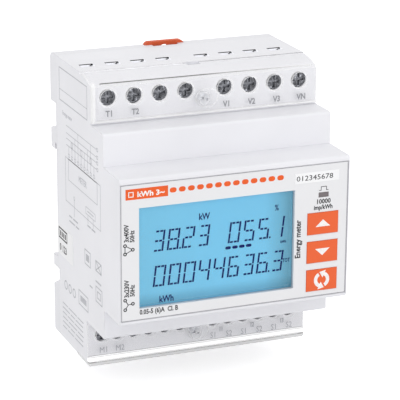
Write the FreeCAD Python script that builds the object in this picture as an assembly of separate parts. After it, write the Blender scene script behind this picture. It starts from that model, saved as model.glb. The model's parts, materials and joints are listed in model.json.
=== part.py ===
import FreeCAD, Part
import math
import os

from FreeCAD import Vector

# DIN rail energy meter, in millimetres. X runs across the front, Z is up, and the
# rail seat is the plane y = 0. Depth is counted forward from that seat, so y = -depth.
# Cutters run 1 mm past the faces that they open.

# Overall housing
width = 71.6
height = 90.0
wall = 1.6
seam_depth = 1.25            # rear edge of the body, where the base begins
shoulder_depth = 43.7
terminal_step = 13.7         # height of each terminal step, above and below the shoulder
nose_depth = 57.5
nose_height = 43.8
nose_drop = 0.3              # the nose sits this much below mid-height
edge_round = 0.8

# Terminal steps and their clear covers
upper_step_depth = 34.4      # front of the upper cover
lower_step_depth = 28.6      # front of the lower cover
cover_run = 10.8             # how far each cover reaches back from its front
cover_wall = 1.2
cover_gap = 0.1
cover_proud = 0.9            # how far a cover stands out of the body's top or bottom
crown_radius = 24.0          # curve of the upper cover's top
cover_end_round = 0.8
cover_groove = 0.35
cover_groove_depth = 0.4
cover_groove_margin = 2.5
cover_groove_rise = 1.8      # groove above the lower cover's lower edge
shadow_gap = 0.7             # between a cover and the shoulder
tongue_width = 4.0
tongue_thick = 1.2
tongue_reach = 2.6
tongue_barb = 0.4

# Terminals
upper_pitch = 8.03
upper_end_margin = 5.4       # least room from a side to the nearest screw
upper_centre_gap = 12.3
upper_screw_edge = 5.8       # screws below the body's top
upper_hole = 4.9
upper_head = 4.4
upper_entry_wide = 4.3
upper_entry_deep = 3.0
upper_entry_back = 15.2      # depth of the wire entry's rear edge
upper_entry_shift = -0.6     # wire entry from its screw
upper_clamp_room = 5.4       # clear width inside an upper wire clamp
entry_skin = 0.5             # thin wall over the upper wire entries
entry_skin_run = 2.0         # thin wall beyond the entry, front and back
lower_pitch = 5.08
lower_end_margin = 4.9
lower_centre_gap = 10.8
lower_screw_edge = 5.0       # screws below the shoulder
lower_hole = 4.1
lower_head = 3.6
lower_entry_wide = 3.5
lower_entry_deep = 4.2
lower_entry_back = 11.7
lower_clamp_room = 3.5       # clear width inside a lower wire clamp
row_shift = -0.42            # both rows sit a little to the left
head_thick = 2.0
head_sink = 0.1              # screw head below the body's terminal face
slot_width = 0.9
slot_deep = 1.0
shank = 3.0
thread_gap = 0.05
slot_share = 0.42            # half length of the cross slots as a share of the head
tip_gap = 0.6                # wire entry to the screw's tip
clamp_wall = 0.5
clamp_floor = 0.7
clamp_sill = 0.3             # clamp floor behind the wire entry's rear edge
clamp_room = 1.2             # wire entry's front edge to the nut
clamp_nut = 3.0
clamp_leg = 1.4
insulator_wall = 0.6
insulator_lift = 0.7         # insulator from the shoulder's level
insulator_end = 1.5          # insulator beyond the clamps, above and below
funnel_gap = 0.35            # insulator below the thin wall round the entries
running_gap = 0.1
stop_gap = 0.02

# Seal plugs
seal_x = -1.5
seal_drop = 2.3              # plug axis inward of the screw row
boss_wide = 6.6
boss_shift = 1.3             # middle of the cover's boss from the plug
boss_drop = 0.2
boss_tall = 5.1
boss_high = 1.0
plug_wide = 3.4
plug_tall = 4.5
plug_high = 0.9
plug_shank = 2.8
rim_round = 0.35
plug_long = 3.9              # plug length below its head
plug_tilt = 23.0             # turn of the two wire holes
wire_hole = 0.9
wire_pitch = 1.5
seal_gap = 0.1

# Rail side of the base
base_floor = 2.2
spigot_wall = 1.2
spigot_rise = 2.75
upper_block_reach = 5.1
lower_block_reach = 4.6
block_wall = 1.6
block_round = 2.5
upper_block_low = 29.7
lower_block_high = -29.6
lower_block_slope = 2.2
hook_width = 12.0
hook_top = 22.7
hook_slope = 1.5
hook_chamfer = 0.4
hook_low = 14.96
hook_reach = 5.0
hook_slot = 1.15             # room for the rail's edge under the hook
hook_slot_rise = 2.05
stop_high = -19.65
stop_low = -23.4
stop_reach = 4.4
groove_low = -27.3
groove_deep = 0.95
seat_relief = 0.15

# Clips
rail_half = 17.5
clip_width = 12.8
clip_thick = 2.0
clip_front = 1.3             # front of the clip behind the rail seat
clip_grip = 2.3              # overlap on the rail's edge
clip_gap = 0.1
clip_round = 1.5
clip_rib = 8.4
clip_rib_gap = 0.3
clip_arm_slot = 0.8
clip_arm = 1.3
clip_arm_rise = 1.3          # free end of the spring arms from the block's foot
clip_arm_root = 0.1          # arm slots below the screw hole
clip_rib_foot = 1.0
clip_barb = 0.5
clip_barb_tall = 1.5
clip_stroke = 6.35
clip_hole = 4.2
clip_hole_edge = 3.1         # hole centre from the clip's outer end
notch_width = 8.4
notch_front = 0.4
notch_deep = 6.0
channel_land = 2.4

# Front label, display and keys
face_wall = 1.8
label_sink = 0.4
film = 0.25
label_side_margin = 0.4
label_top_margin = 1.67
label_bottom_margin = 1.25
fit_gap = 0.15
lcd_left_margin = 5.6
lcd_right_gap = 4.25         # display to key column
lcd_bottom_margin = 3.45
lcd_top_margin = 7.25
window_thick = 1.0
glass = 1.1
contact_ledge = 1.45
light_guide_thick = 3.7
frame_wall = 1.2
zebra_wide = 1.1
key_wide = 9.9
key_space = 2.15
key_right_margin = 2.9
key_top_margin = 14.87
key_bottom_margin = 1.68
key_proud = 0.2
key_travel = 0.3
key_flange = 0.7
key_flange_thick = 0.8
key_wall = 1.0
key_skin = 1.2
key_stem = 3.4
key_stem_root = 0.1          # stem's run into the cap's skin
lamp_wide = 3.1
lamp_tall = 1.4
lamp_right_margin = 7.75     # lamp centre from the label's right edge
lamp_top_margin = 9.5
lamp_flange = 0.9
lamp_flange_thick = 0.6
led = 3.0
led_rim = 3.8
led_rim_thick = 1.0
led_tall = 5.0
sticker = 0.08

# Boards
board = 1.6
main_board_depth = 7.0
board_gap = 0.6
post = 5.0
peg = 2.6
peg_gap = 0.2
peg_rise = 0.4               # pegs above the main board
post_x_margin = 5.8
post_z = 27.0
guide_rise = 1.85            # light guide above the display board
support_post = 3.0           # posts and rib that hold the display board
support_rib = 1.6
switch_side = 6.0
switch_tall = 3.5
plunger = 3.2
plunger_rise = 0.9
plunger_root = 1.2
link_wide = 22.0
link_drop = 0.8              # link board below the display board's upper edge

# Parts on the boards
transformer_wide = 14.0
transformer_tall = 13.0
transformer_deep = 16.0
transformer_space = 2.0
transformer_edge = 7.3       # first transformer from the board's left edge
transformer_rise = 10.3      # transformers above the lower shoulder
transformer_eye = 5.0
transformer_eye_rise = 9.6   # eye above the board
supply_edge = 15.6           # supply transformer's middle from the board's left edge
core_side = 17.0
core_thick = 6.0
core_leg = 4.4
core_yoke = 2.0
core_rise = 2.0              # core above the board
coil_tall = 14.0
coil_foot = 2.0
capacitor = 10.0
capacitor_tall = 17.0
capacitor_space = 1.0
capacitor_run = 18.0         # first capacitor from the supply transformer
suppressor = 9.0
suppressor_thick = 4.0
suppressor_rise = 1.0
suppressor_drop = 5.0        # suppressors below the upper insulators
suppressor_edge = 7.4        # first suppressor from the board's left edge
suppressor_pitch = 9.4
suppressor_right = 15.6      # third suppressor from the board's right edge
chip_side = 8.0
chip_thick = 1.6
chip_edge = 3.6              # chip from the board's right edge
chip_z = -2.5
controller_side = 12.0
coupler_edge = 6.6           # coupler from the board's right edge
coupler_space = 2.5          # coupler below the transformers
coupler_wide = 6.0
coupler_tall = 5.0
coupler_deep = 3.5

# Stickers
side_sticker_back = 0.2
side_sticker_front = 14.9
side_sticker_low = -17.9
side_sticker_high = -8.4
serial_wide = 14.05
serial_tall = 3.1
serial_drop = 2.25           # below the label's upper edge

half_w = width / 2
half_h = height / 2
inner_w = half_w - wall
shoulder_z = half_h - terminal_step
nose_top = nose_height / 2 - nose_drop
nose_bottom = -nose_height / 2 - nose_drop
upper_back = upper_step_depth - cover_run
lower_back = lower_step_depth - cover_run
cover_inset = cover_wall + cover_gap
crown_z = half_h + cover_proud
upper_face = upper_step_depth - cover_inset
lower_face = lower_step_depth - cover_inset
label_floor = nose_depth - label_sink
label_front = label_floor + film
nose_inner = label_floor - face_wall
label_left = -half_w + label_side_margin
label_right = half_w - label_side_margin
label_top = nose_top - label_top_margin
label_bottom = nose_bottom + label_bottom_margin
key_right = label_right - key_right_margin
key_left = key_right - key_wide
lcd_left = label_left + lcd_left_margin
lcd_right = key_left - lcd_right_gap
lcd_bottom = label_bottom + lcd_bottom_margin
lcd_top = label_top - lcd_top_margin
key_centre_x = (key_left + key_right) / 2
key_tall = (label_top - label_bottom - key_top_margin - key_bottom_margin - 2 * key_space) / 3
key_first_z = label_top - key_top_margin - key_tall / 2
board_front = main_board_depth + board
display_front = label_front - window_thick - 2 * glass - light_guide_thick - guide_rise
display_board_depth = display_front - board
upper_screw_z = half_h - upper_screw_edge
lower_screw_z = -shoulder_z - lower_screw_edge
insulator_low = shoulder_z + insulator_lift
board_edge = inner_w - board_gap
supply_x = supply_edge - board_edge


def at(x, depth, z):
    return Vector(x, -depth, z)


def block(x0, x1, d0, d1, z0, z1):
    return Part.makeBox(x1 - x0, d1 - d0, z1 - z0, at(x0, d1, z0))


def rod(diameter, d0, d1, x, z):
    return Part.makeCylinder(diameter / 2, d1 - d0, at(x, d1, z), Vector(0, 1, 0))


def bar_z(diameter, x, depth, z0, z1):
    return Part.makeCylinder(diameter / 2, z1 - z0, at(x, depth, z0), Vector(0, 0, 1))


def slab(points, x0, x1):
    """A side outline of (depth, z) points carried across from x0 to x1."""
    corners = [at(x0, d, z) for d, z in points]
    wire = Part.makePolygon(corners + corners[:1])
    return Part.Face(wire).extrude(Vector(x1 - x0, 0, 0))


def obround(wide, tall, d0, d1, x, z):
    """A plate with half-round ends on its longer axis."""
    radius = min(wide, tall) / 2
    rise = tall / 2 - radius
    run = wide / 2 - radius
    ends = rod(2 * radius, d0, d1, x - run, z - rise).fuse(rod(2 * radius, d0, d1, x + run, z + rise))
    if wide > tall:
        middle = block(x - run, x + run, d0, d1, z - radius, z + radius)
    else:
        middle = block(x - radius, x + radius, d0, d1, z - rise, z + rise)
    return ends.fuse(middle).removeSplitter()


def join(shapes):
    solid = shapes[0]
    if len(shapes) > 1:
        solid = shapes[0].fuse(shapes[1:])
    return solid.removeSplitter()


def group(shapes):
    return Part.makeCompound(shapes)


def same(first, second):
    return abs(first - second) < 1e-4


def mirror_x(shape):
    return shape.mirror(Vector(0, 0, 0), Vector(1, 0, 0))


def along(edge, direction):
    if not isinstance(edge.Curve, Part.Line):
        return False
    return abs(abs(edge.Curve.Direction.dot(direction)) - 1) < 1e-6


def round_edges(shape, radius, wanted):
    """Round the edges whose middle point the test accepts."""
    edges = [edge for edge in shape.Edges if wanted(edge)]
    return shape.makeFillet(radius, edges)


def middle_of(edge):
    first, last = edge.ParameterRange
    point = edge.valueAt((first + last) / 2)
    return point.x, -point.y, point.z


def poles(pitch, end_margin, centre_gap):
    """Screw positions of a row: as many as fit on each side of a centre gap."""
    first = centre_gap / 2
    each = int((half_w - end_margin - first) / pitch) + 1
    right = [first + pitch * n for n in range(each)]
    left = [-x for x in reversed(right)]
    return [x + row_shift for x in left + right]


upper_x = poles(upper_pitch, upper_end_margin, upper_centre_gap)
lower_x = poles(lower_pitch, lower_end_margin, lower_centre_gap)


def crown_height(depth, inset):
    """Height of the upper crown at a depth, moved in by inset."""
    radius = crown_radius - inset
    run = depth - upper_back
    return crown_z - crown_radius + math.sqrt(radius * radius - run * run)


def crown_outline(inset, foot_z):
    """Closed outline under the upper crown: arc, front, foot and back."""
    front = upper_step_depth - inset
    middle = (upper_back + front) / 2
    back = at(0, upper_back, crown_z - inset)
    high = at(0, middle, crown_height(middle, inset))
    brow = at(0, front, crown_height(front, inset))
    low = at(0, front, foot_z)
    heel = at(0, upper_back, foot_z)
    arc = Part.Arc(back, high, brow).toShape()
    lines = [Part.makeLine(a, b) for a, b in ((brow, low), (low, heel), (heel, back))]
    return Part.Wire([arc] + lines)


def crown_block(inset, foot_z, half_width):
    face = Part.Face(crown_outline(inset, foot_z))
    face.translate(Vector(-half_width, 0, 0))
    return face.extrude(Vector(2 * half_width, 0, 0))


def body_steps(inset, back, nose_front, foot_inset):
    """Stepped side outline of the body, without the crown over the upper terminals."""
    low_z = -half_h + cover_inset - cover_proud
    return [
        (back, half_h - inset),
        (upper_back, half_h - inset),
        (upper_back, shoulder_z - inset),
        (shoulder_depth - inset, shoulder_z - inset),
        (shoulder_depth - inset, nose_top - inset),
        (nose_front, nose_top - inset),
        (nose_front, nose_bottom + inset),
        (shoulder_depth - inset, nose_bottom + inset),
        (shoulder_depth - inset, -shoulder_z + inset),
        (lower_face - inset, -shoulder_z + inset),
        (lower_face - inset, low_z + foot_inset),
        (lower_back, low_z + foot_inset),
        (lower_back, -half_h + inset),
        (back, -half_h + inset),
    ]


def body_outside():
    steps = slab(body_steps(0, seam_depth, nose_depth, 0), -half_w, half_w)
    crown = crown_block(cover_inset, shoulder_z - wall / 2, half_w)
    shape = steps.fuse(crown).removeSplitter()
    across = Vector(1, 0, 0)
    fronts = (
        (shoulder_depth, shoulder_z),
        (shoulder_depth, -shoulder_z),
        (nose_depth, nose_top),
        (nose_depth, nose_bottom),
    )

    def front_edge(edge):
        if not along(edge, across):
            return False
        _, depth, z = middle_of(edge)
        return any(same(depth, d) and same(z, h) for d, h in fronts)

    return round_edges(shape, edge_round, front_edge)


def body_hollow():
    foot = wall
    steps = slab(body_steps(wall, seam_depth - wall, nose_inner, foot), -inner_w, inner_w)
    crown = crown_block(cover_inset + wall, shoulder_z - wall, inner_w)
    return steps.fuse(crown)


def key_centres():
    return [key_first_z - (key_tall + key_space) * n for n in range(3)]


def face_openings(gap, d0, d1):
    """Display, key and lamp openings with a clearance all round."""
    lamp_x = label_right - lamp_right_margin
    lamp_z = label_top - lamp_top_margin
    cuts = [block(lcd_left - gap, lcd_right + gap, d0, d1, lcd_bottom - gap, lcd_top + gap)]
    for z in key_centres():
        low = z - key_tall / 2 - gap
        high = z + key_tall / 2 + gap
        cuts.append(block(key_left - gap, key_right + gap, d0, d1, low, high))
    wide = lamp_wide / 2 + gap
    tall = lamp_tall / 2 + gap
    cuts.append(block(lamp_x - wide, lamp_x + wide, d0, d1, lamp_z - tall, lamp_z + tall))
    return cuts


def entry_strip():
    """Depths between which the top wall is thin, round the upper wire entries."""
    return upper_entry_back - entry_skin_run, upper_entry_back + upper_entry_deep + entry_skin_run


def seal_axis(upper):
    if upper:
        return seal_x, upper_screw_z - seal_drop
    return seal_x, lower_screw_z - seal_drop


def tongue_x():
    return row_shift - tongue_width / 2, row_shift + tongue_width / 2


def board_supports():
    """Posts and a rib inside the nose that the display board seats on."""
    top = nose_top - wall
    frame_top = lcd_top + contact_ledge + frame_wall
    size = min(support_post, top - frame_top - 2 * running_gap)
    z = (top + frame_top) / 2
    shapes = [rod(size, display_front, nose_inner, x, z) for x in (lcd_left, 0, key_right)]
    rib = block(-inner_w, -inner_w + support_rib, display_front, nose_inner, lcd_bottom, lcd_top)
    return shapes + [rib]


def main_body():
    shape = body_outside().cut(body_hollow())
    shape = join([shape] + board_supports())
    cuts = [block(label_left - fit_gap, label_right + fit_gap, label_floor, nose_depth + 1,
                  label_bottom - fit_gap, label_top + fit_gap)]
    cuts += face_openings(fit_gap, nose_inner - 1, nose_depth + 1)
    for x in upper_x:
        cuts.append(rod(upper_hole, upper_face - wall - 1, upper_face + 1, x, upper_screw_z))
        middle = x + upper_entry_shift
        cuts.append(block(middle - upper_entry_wide / 2, middle + upper_entry_wide / 2, upper_entry_back,
                          upper_entry_back + upper_entry_deep, half_h - wall - 1, half_h + 1))
    for x in lower_x:
        cuts.append(rod(lower_hole, lower_face - wall - 1, lower_face + 1, x, lower_screw_z))
        cuts.append(block(x - lower_entry_wide / 2, x + lower_entry_wide / 2, lower_entry_back,
                          lower_entry_back + lower_entry_deep, -half_h - 1, -half_h + wall + 1))
    for upper, face in ((True, upper_face), (False, lower_face)):
        x, z = seal_axis(upper)
        cuts.append(rod(plug_shank + 2 * seal_gap, face - wall - 1, face + 1, x, z))
    back, front = entry_strip()
    cuts.append(block(-inner_w, inner_w, back, front, half_h - wall - 1, half_h - entry_skin))
    x0, x1 = tongue_x()
    gap = cover_gap
    for back, low, high in ((upper_back, half_h - 2 * wall, half_h + 1),
                            (lower_back, -half_h - 1, -half_h + 2 * wall)):
        cuts.append(block(x0 - gap, x1 + gap, back - tongue_barb - gap,
                          back + tongue_thick + gap, low, high))
    return shape.cut(cuts)


def tongue(back, root_z, inward):
    """Snap tongue of a cover, with a barb behind the body's wall."""
    x0, x1 = tongue_x()
    tip = root_z + inward * tongue_reach
    barb_root = root_z + inward * (wall + 2 * cover_gap)
    low, high = sorted((root_z, tip))
    stem = block(x0, x1, back, back + tongue_thick, low, high)
    shoulder = barb_root + inward * tongue_barb
    barb = slab([(back, barb_root), (back - tongue_barb, shoulder), (back, tip)], x0, x1)
    return [stem, barb]


def raised_pad(wide, tall, depth, rise, x, z):
    """Pad with half-round ends and a bevelled front rim."""
    pad = obround(wide, tall, depth, depth + rise, x, z)
    rim = [edge for edge in pad.Edges if same(middle_of(edge)[1], depth + rise)]
    return pad.makeChamfer(rim_round, rim)


def seal_boss(upper):
    x, z = seal_axis(upper)
    face = upper_step_depth if upper else lower_step_depth
    return raised_pad(boss_wide, boss_tall, face, boss_high, x + boss_shift, z - boss_drop)


def cover_holes(face, hole, xs, z, seal):
    cuts = [rod(hole, face - cover_wall - 1, face + 1, x, z) for x in xs]
    x, z = seal
    cuts.append(rod(plug_shank + 2 * seal_gap, face - cover_wall - 1, face + boss_high + 1, x, z))
    return cuts


def groove_cut(face, z):
    reach = half_w - cover_groove_margin
    half = cover_groove / 2
    return block(-reach, reach, face - cover_groove_depth, face + 1, z - half, z + half)


def round_cover_ends(shape, back):
    """Soften the outer end edges of a cover."""
    def end_edge(edge):
        x, depth, _ = middle_of(edge)
        on_front = same(depth, upper_step_depth) or same(depth, lower_step_depth)
        outer = depth > back + cover_wall and on_front
        return same(abs(x), half_w) and outer and along(edge, Vector(0, 0, 1))
    return round_edges(shape, cover_end_round, end_edge)


def upper_terminal_cover():
    foot = shoulder_z + shadow_gap
    outside = crown_block(0, foot, half_w)
    front_z = crown_height(upper_step_depth, 0)
    outside = round_edges(outside, cover_wall, lambda e: along(e, Vector(1, 0, 0))
                          and same(middle_of(e)[1], upper_step_depth)
                          and same(middle_of(e)[2], front_z))
    outside = round_cover_ends(outside, upper_back)
    inside = crown_block(cover_wall, foot - 1, half_w + 1)
    shape = outside.cut(inside)
    seal = seal_axis(True)
    root = crown_z - cover_wall
    shape = join([shape, seal_boss(True)] + tongue(upper_back, root, -1))
    groove_z = front_z + cover_groove_depth / 2
    cuts = cover_holes(upper_step_depth, upper_hole, upper_x, upper_screw_z, seal)
    cuts.append(groove_cut(upper_step_depth - cover_groove_depth, groove_z))
    return shape.cut(cuts)


def lower_terminal_cover():
    low = -half_h - cover_proud
    high = -shoulder_z - shadow_gap
    outside = block(-half_w, half_w, lower_back, lower_step_depth, low, high)
    outside = round_edges(outside, cover_end_round, lambda e: along(e, Vector(1, 0, 0))
                          and same(middle_of(e)[1], lower_step_depth)
                          and same(middle_of(e)[2], low))
    outside = round_cover_ends(outside, lower_back)
    inside = block(-half_w - 1, half_w + 1, lower_back - 1, lower_step_depth - cover_wall,
                   low + cover_wall, high + 1)
    shape = outside.cut(inside)
    root = low + cover_wall
    shape = join([shape, seal_boss(False)] + tongue(lower_back, root, 1))
    cuts = cover_holes(lower_step_depth, lower_hole, lower_x, lower_screw_z, seal_axis(False))
    cuts.append(groove_cut(lower_step_depth, low + cover_groove_rise))
    return shape.cut(cuts)


def seal_plug(upper):
    face = upper_step_depth if upper else lower_step_depth
    x, z = seal_axis(upper)
    base = face + boss_high
    head = raised_pad(plug_wide, plug_tall, base, plug_high, x, z)
    shape = join([head, rod(plug_shank, base - plug_long, base, x, z)])
    angle = math.radians(-plug_tilt)
    cuts = []
    for side in (-1, 1):
        dx = side * wire_pitch / 2 * math.cos(angle)
        dz = side * wire_pitch / 2 * math.sin(angle)
        cuts.append(rod(wire_hole, base - plug_long - 1, base + plug_high + 1, x + dx, z + dz))
    return shape.cut(cuts)


def hooks():
    """Fixed hooks over the rail's upper edge, one at each side."""
    points = [
        (0, hook_top),
        (-hook_reach + hook_chamfer, hook_top - hook_slope),
        (-hook_reach, hook_top - hook_slope - hook_chamfer),
        (-hook_reach, hook_low),
        (-hook_slot, hook_low),
        (-hook_slot, hook_low + hook_slot_rise),
        (0, hook_low + hook_slot_rise),
    ]
    right = slab(points, half_w - hook_width, half_w)
    return [right, mirror_x(right)]


def stops():
    """Plain ribs that the rail's lower edge drops onto, one at each side."""
    right = block(half_w - hook_width, half_w, -stop_reach, 0, stop_low, stop_high)
    return [right, mirror_x(right)]


def rear_block(upper):
    if upper:
        points = [(0, half_h), (-upper_block_reach, half_h),
                  (-upper_block_reach, upper_block_low), (0, upper_block_low)]
        corner = half_h
        reach = upper_block_reach
    else:
        points = [(0, -half_h), (-lower_block_reach, -half_h),
                  (-lower_block_reach, lower_block_high), (0, lower_block_high + lower_block_slope)]
        corner = -half_h
        reach = lower_block_reach
    shape = slab(points, -half_w, half_w)
    radius = block_round if upper else block_round / 3
    return round_edges(shape, radius, lambda e: along(e, Vector(1, 0, 0))
                       and same(middle_of(e)[1], -reach)
                       and same(middle_of(e)[2], corner))


def block_hollows():
    """Cored pockets of the rear blocks, open towards the inside."""
    land = clip_width / 2 + channel_land
    cuts = []
    edge = half_h - wall - spigot_wall
    for reach, low, high in ((upper_block_reach, upper_block_low + block_wall, edge),
                             (lower_block_reach, -edge, lower_block_high - block_wall)):
        right = block(land, inner_w - spigot_wall, -reach + block_wall, base_floor + 1, low, high)
        cuts += [right, mirror_x(right)]
    return cuts


def clip_channels():
    """Guides for both clips: a wide slot with barb pockets, a rear opening and a pull notch."""
    half = clip_width / 2 + clip_gap
    back = clip_front + clip_thick + clip_gap
    rib = clip_rib / 2 + clip_gap
    front = -clip_front + clip_gap
    barb = half + clip_barb
    arm_low = upper_block_low + clip_arm_rise
    barb_low = arm_low - stop_gap
    barb_high = arm_low + clip_barb_tall + clip_stroke + stop_gap
    cuts = []
    for sign, low in ((1, upper_block_low), (-1, -lower_block_high - lower_block_slope)):
        spans = (
            (half, -back, front, low - 1, half_h + 1),
            (barb, -back, front, barb_low, barb_high),
            (rib, -back - hook_reach, -back + 1, low - 1, half_h + 1),
            (notch_width / 2, front - 1, notch_front, half_h - notch_deep, half_h + 1),
        )
        for reach, d0, d1, z0, z1 in spans:
            bottom, top = sorted((sign * z0, sign * z1))
            cuts.append(block(-reach, reach, d0, d1, bottom, top))
    return cuts


def seat_reliefs():
    """Shallow steps that keep the rail seat clear of hooks, stops and clips."""
    side = half_w - hook_width
    hook = block(side, half_w + 1, -hook_slot, seat_relief, hook_low, hook_low + hook_slot_rise)
    groove = block(side, half_w + 1, -1, groove_deep, groove_low, stop_low)
    clip = clip_width / 2 + 2 * clip_gap
    upper = block(-clip, clip, -1, seat_relief, hook_low, upper_block_low)
    lower = block(-clip, clip, -1, seat_relief, lower_block_high + lower_block_slope, -hook_low)
    return [hook, mirror_x(hook), groove, mirror_x(groove), upper, lower]


def rear_base():
    floor = block(-half_w, half_w, 0, seam_depth, -half_h, half_h)
    edge = wall + running_gap
    inset_w = half_w - edge
    inset_h = half_h - edge
    spigot = block(-inset_w, inset_w, seam_depth, seam_depth + spigot_rise, -inset_h, inset_h)
    tray = block(-inset_w + spigot_wall, inset_w - spigot_wall, base_floor, seam_depth + spigot_rise + 1,
                 -inset_h + spigot_wall, inset_h - spigot_wall)
    shape = join([floor, spigot.cut(tray), rear_block(True), rear_block(False)] + stops() + hooks())
    shape = shape.cut(block_hollows() + clip_channels() + seat_reliefs())
    posts = []
    for x in (-half_w + post_x_margin, half_w - post_x_margin):
        for z in (-post_z, post_z):
            posts.append(rod(post, base_floor - 1, main_board_depth, x, z))
            posts.append(rod(peg, main_board_depth, board_front + peg_rise, x, z))
    return join([shape] + posts)


def clip(upper):
    """Sliding clip: a plate with a guide rib, two barbed spring arms and a screw hole."""
    half = clip_width / 2
    outer = half_h + cover_proud
    nose = rail_half - clip_grip
    back = -clip_front - clip_thick
    flat = block(-half, half, back, -clip_front, nose, outer)
    flat = round_edges(flat, clip_round, lambda e: along(e, Vector(0, 1, 0))
                       and same(middle_of(e)[2], outer))
    low = upper_block_low if upper else -lower_block_high
    reach = (upper_block_reach if upper else lower_block_reach) - clip_rib_gap
    rib = block(-clip_rib / 2, clip_rib / 2, -reach, back, low + clip_rib_foot, half_h - clip_rib_gap)
    inner = half - clip_arm - clip_arm_slot
    arm_low = upper_block_low + clip_arm_rise
    under = arm_low - clip_arm_slot
    slot_top = outer - clip_hole_edge - clip_hole / 2 - clip_arm_root
    cuts = [rod(clip_hole, -reach - 1, 0, 0, outer - clip_hole_edge)]
    barbs = []
    for sign in (-1, 1):
        x0, x1 = sorted((sign * inner, sign * (inner + clip_arm_slot)))
        cuts.append(block(x0, x1, back - 1, 0, under, slot_top))
        x0, x1 = sorted((sign * inner, sign * (half + 1)))
        cuts.append(block(x0, x1, back - 1, 0, under, arm_low))
        x0, x1 = sorted((sign * (half - clip_arm), sign * (half + clip_barb)))
        barbs.append(block(x0, x1, back, -clip_front, arm_low, arm_low + clip_barb_tall))
    lead_in = [(-clip_front, nose), (-clip_front - clip_thick / 2, nose), (-clip_front, nose + clip_grip / 2)]
    lead = slab(lead_in, -half, half)
    shape = join([join([flat, rib]).cut(cuts + [lead])] + barbs)
    if upper:
        return shape
    return shape.mirror(Vector(0, 0, 0), Vector(0, 0, 1))


def insulator_halves(xs, wide, outline):
    """Two terminal insulators, one for each group of a row."""
    each = len(xs) // 2
    limit = inner_w - running_gap
    shapes = []
    for side in (xs[:each], xs[each:]):
        x0 = max(side[0] - wide / 2 - insulator_wall, -limit)
        x1 = min(side[-1] + wide / 2 + insulator_wall, limit)
        shapes.append(slab(outline, x0, x1))
    return shapes


def clamp_sizes(upper):
    """Width of a wire clamp and the depths of its back, its nut and its front."""
    entry_back = upper_entry_back if upper else lower_entry_back
    entry_deep = upper_entry_deep if upper else lower_entry_deep
    wide = (upper_clamp_room if upper else lower_clamp_room) + 2 * clamp_wall
    back = entry_back - clamp_sill - clamp_floor
    nut = entry_back + entry_deep + clamp_room
    return wide, back, nut, nut + clamp_nut


def insulator_span(upper):
    """Lowest and highest z of a row's insulators."""
    if upper:
        return insulator_low, crown_z - cover_inset - wall - running_gap
    return -half_h + wall + cover_inset - cover_proud + running_gap, -insulator_low


def clamp_span(upper):
    low, top = insulator_span(upper)
    return low + insulator_end, top - insulator_end


def head_seat(upper):
    """Depth that the screw heads rest on."""
    return (upper_face if upper else lower_face) - head_sink - head_thick


def terminal_blocks(upper):
    xs = upper_x if upper else lower_x
    seat = head_seat(upper)
    wide, clamp_back, _, clamp_front = clamp_sizes(upper)
    pocket = wide + 2 * running_gap
    low, top = insulator_span(upper)
    z0, z1 = clamp_span(upper)
    if upper:
        screw_z = upper_screw_z
        brow = crown_height(seat, cover_inset + wall) - 2 * running_gap
        funnel = half_h - entry_skin - funnel_gap
        rear, fore = entry_strip()
        outline = [(board_front, low), (board_front, top), (rear + running_gap, top),
                   (rear + running_gap, funnel), (fore - running_gap, funnel), (fore - running_gap, top),
                   (upper_back, top), (seat, brow), (seat, low)]
        entry = (upper_clamp_room, upper_entry_back, upper_entry_deep, z1 - 1, funnel + 1)
    else:
        screw_z = lower_screw_z
        outline = [(board_front, low), (board_front, top), (seat, top), (seat, low)]
        entry = (lower_entry_wide, lower_entry_back, lower_entry_deep, low - 1, z0 + 1)
    cuts = []
    entry_wide, entry_back, entry_deep, e0, e1 = entry
    for x in xs:
        cuts.append(block(x - pocket / 2, x + pocket / 2, clamp_back - running_gap,
                          clamp_front + running_gap, z0 - running_gap, z1 + running_gap))
        cuts.append(block(x - entry_wide / 2, x + entry_wide / 2, entry_back,
                          entry_back + entry_deep, e0, e1))
        cuts.append(rod(shank + 2 * running_gap, clamp_front, seat + 1, x, screw_z))
        leg = clamp_leg / 2 + running_gap
        cuts.append(block(x - leg, x + leg, board_front - 1, clamp_back, screw_z - leg, screw_z + leg))
    return group([shape.cut(cuts) for shape in insulator_halves(xs, pocket, outline)])


def wire_clamps(upper):
    """Steel boxes with a thick threaded front, each on a leg to the main board."""
    xs = upper_x if upper else lower_x
    wide, back, nut, front = clamp_sizes(upper)
    z0, z1 = clamp_span(upper)
    screw_z = upper_screw_z if upper else lower_screw_z
    shapes = []
    for x in xs:
        clamp = block(x - wide / 2, x + wide / 2, back, front, z0, z1)
        inside = block(x - wide / 2 + clamp_wall, x + wide / 2 - clamp_wall, back + clamp_floor, nut,
                       z0 - 1, z1 + 1)
        thread = rod(shank + 2 * thread_gap, nut - 1, front + 1, x, screw_z)
        half = clamp_leg / 2
        leg = block(x - half, x + half, board_front, back, screw_z - half, screw_z + half)
        shapes.append(join([clamp.cut([inside, thread]), leg]))
    return group(shapes)


def terminal_screws(upper):
    """Cross-slotted cheese heads on plain shanks."""
    xs = upper_x if upper else lower_x
    seat = head_seat(upper)
    face = seat + head_thick
    head = upper_head if upper else lower_head
    z = upper_screw_z if upper else lower_screw_z
    entry = (upper_entry_back + upper_entry_deep) if upper else (lower_entry_back + lower_entry_deep)
    shapes = []
    for x in xs:
        screw = join([rod(head, seat, face, x, z), rod(shank, entry + tip_gap, seat, x, z)])
        long = head * slot_share
        thin = slot_width / 2
        cross = block(x - long, x + long, face - slot_deep, face + 1, z - thin, z + thin)
        upright = block(x - thin, x + thin, face - slot_deep, face + 1, z - long, z + long)
        shapes.append(screw.cut([cross, upright]))
    return group(shapes)


def front_label():
    sheet = block(label_left, label_right, label_floor, label_front, label_bottom, label_top)
    return sheet.cut(face_openings(fit_gap / 2, label_floor - 1, label_front + 1))


def lcd_window():
    return block(lcd_left, lcd_right, label_front - window_thick, label_front, lcd_bottom, lcd_top)


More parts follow.
